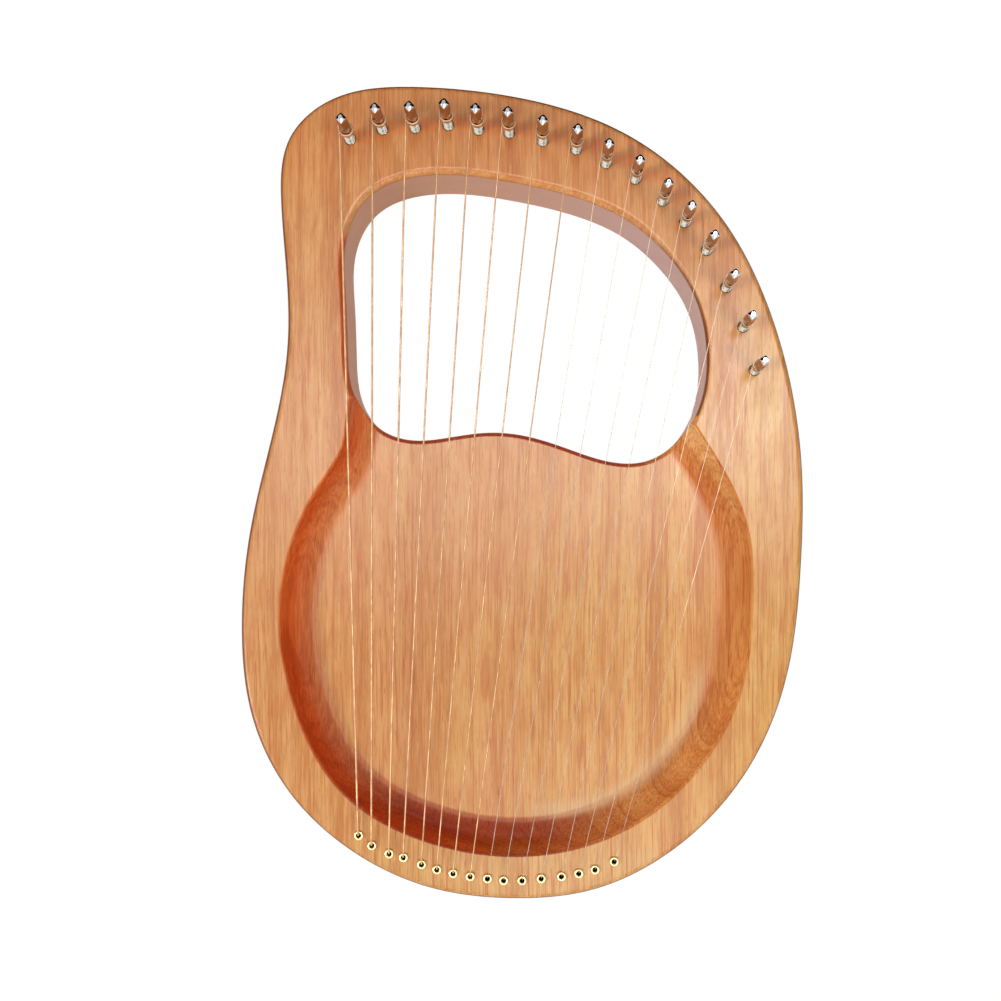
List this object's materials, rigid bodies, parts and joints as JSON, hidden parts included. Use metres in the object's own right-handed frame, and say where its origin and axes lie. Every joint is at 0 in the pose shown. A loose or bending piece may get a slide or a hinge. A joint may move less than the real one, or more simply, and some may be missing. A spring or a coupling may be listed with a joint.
{
  "type": "lyre harp",
  "caption": "Hand-held lyre harp: one carved hardwood board with an open yoke, a round dish, steel tuning pins and strings that run from brass eyelets to the pins.",
  "frame": {"origin": "under the middle of the outline, on the flat back that the harp lies on", "axes": "+Z out of the front face, +Y along the strings towards the tuning pins, +X to the right seen from the front"},
  "size_m": [0.2649, 0.383, 0.0475],
  "materials": {
    "board_wood": "satin clear lacquer over straight-grained red-brown hardwood",
    "plated_steel": "bright plated steel",
    "bronze_wire": "fine bronze winding on a steel core",
    "steel_wire": "drawn plain steel wire",
    "eyelet_brass": "polished brass"
  },
  "bodies": {
    "harp": {"board": "board_wood", "string_01": "bronze_wire", "string_02": "bronze_wire", "string_03": "bronze_wire", "string_04": "bronze_wire", "string_05": "bronze_wire", "string_06": "bronze_wire", "string_07": "bronze_wire", "string_08": "bronze_wire", "string_09": "steel_wire", "string_10": "steel_wire", "string_11": "steel_wire", "string_12": "steel_wire", "string_13": "steel_wire", "string_14": "steel_wire", "string_15": "steel_wire", "string_16": "steel_wire", "eyelet_01": "eyelet_brass", "eyelet_02": "eyelet_brass", "eyelet_03": "eyelet_brass", "eyelet_04": "eyelet_brass", "eyelet_05": "eyelet_brass", "eyelet_06": "eyelet_brass", "eyelet_07": "eyelet_brass", "eyelet_08": "eyelet_brass", "eyelet_09": "eyelet_brass", "eyelet_10": "eyelet_brass", "eyelet_11": "eyelet_brass", "eyelet_12": "eyelet_brass", "eyelet_13": "eyelet_brass", "eyelet_14": "eyelet_brass", "eyelet_15": "eyelet_brass", "eyelet_16": "eyelet_brass"},
    "pin_01": {"tuning_pin_01": "plated_steel"},
    "pin_02": {"tuning_pin_02": "plated_steel"},
    "pin_03": {"tuning_pin_03": "plated_steel"},
    "pin_04": {"tuning_pin_04": "plated_steel"},
    "pin_05": {"tuning_pin_05": "plated_steel"},
    "pin_06": {"tuning_pin_06": "plated_steel"},
    "pin_07": {"tuning_pin_07": "plated_steel"},
    "pin_08": {"tuning_pin_08": "plated_steel"},
    "pin_09": {"tuning_pin_09": "plated_steel"},
    "pin_10": {"tuning_pin_10": "plated_steel"},
    "pin_11": {"tuning_pin_11": "plated_steel"},
    "pin_12": {"tuning_pin_12": "plated_steel"},
    "pin_13": {"tuning_pin_13": "plated_steel"},
    "pin_14": {"tuning_pin_14": "plated_steel"},
    "pin_15": {"tuning_pin_15": "plated_steel"},
    "pin_16": {"tuning_pin_16": "plated_steel"}
  },
  "joints": [
    {"name": "pin_01_turn", "type": "hinge", "parent": "harp", "child": "pin_01", "pos_m": [-0.0808, 0.1657, 0.026], "axis": [0, 0, 1], "range_deg": [-30, 540]},
    {"name": "pin_02_turn", "type": "hinge", "parent": "harp", "child": "pin_02", "pos_m": [-0.0656, 0.1703, 0.026], "axis": [0, 0, 1], "range_deg": [-30, 540]},
    {"name": "pin_03_turn", "type": "hinge", "parent": "harp", "child": "pin_03", "pos_m": [-0.0503, 0.1711, 0.026], "axis": [0, 0, 1], "range_deg": [-30, 540]},
    {"name": "pin_04_turn", "type": "hinge", "parent": "harp", "child": "pin_04", "pos_m": [-0.0347, 0.1723, 0.026], "axis": [0, 0, 1], "range_deg": [-30, 540]},
    {"name": "pin_05_turn", "type": "hinge", "parent": "harp", "child": "pin_05", "pos_m": [-0.0206, 0.1702, 0.026], "axis": [0, 0, 1], "range_deg": [-30, 540]},
    {"name": "pin_06_turn", "type": "hinge", "parent": "harp", "child": "pin_06", "pos_m": [-0.0061, 0.1688, 0.026], "axis": [0, 0, 1], "range_deg": [-30, 540]},
    {"name": "pin_07_turn", "type": "hinge", "parent": "harp", "child": "pin_07", "pos_m": [0.0096, 0.1649, 0.026], "axis": [0, 0, 1], "range_deg": [-30, 540]},
    {"name": "pin_08_turn", "type": "hinge", "parent": "harp", "child": "pin_08", "pos_m": [0.0253, 0.161, 0.026], "axis": [0, 0, 1], "range_deg": [-30, 540]},
    {"name": "pin_09_turn", "type": "hinge", "parent": "harp", "child": "pin_09", "pos_m": [0.0393, 0.1545, 0.026], "axis": [0, 0, 1], "range_deg": [-30, 540]},
    {"name": "pin_10_turn", "type": "hinge", "parent": "harp", "child": "pin_10", "pos_m": [0.0531, 0.1472, 0.026], "axis": [0, 0, 1], "range_deg": [-30, 540]},
    {"name": "pin_11_turn", "type": "hinge", "parent": "harp", "child": "pin_11", "pos_m": [0.0659, 0.1369, 0.026], "axis": [0, 0, 1], "range_deg": [-30, 540]},
    {"name": "pin_12_turn", "type": "hinge", "parent": "harp", "child": "pin_12", "pos_m": [0.0764, 0.1268, 0.026], "axis": [0, 0, 1], "range_deg": [-30, 540]},
    {"name": "pin_13_turn", "type": "hinge", "parent": "harp", "child": "pin_13", "pos_m": [0.0866, 0.1137, 0.026], "axis": [0, 0, 1], "range_deg": [-30, 540]},
    {"name": "pin_14_turn", "type": "hinge", "parent": "harp", "child": "pin_14", "pos_m": [0.0957, 0.0962, 0.026], "axis": [0, 0, 1], "range_deg": [-30, 540]},
    {"name": "pin_15_turn", "type": "hinge", "parent": "harp", "child": "pin_15", "pos_m": [0.1037, 0.0777, 0.026], "axis": [0, 0, 1], "range_deg": [-30, 540]},
    {"name": "pin_16_turn", "type": "hinge", "parent": "harp", "child": "pin_16", "pos_m": [0.109, 0.0573, 0.026], "axis": [0, 0, 1], "range_deg": [-30, 540]}
  ]
}
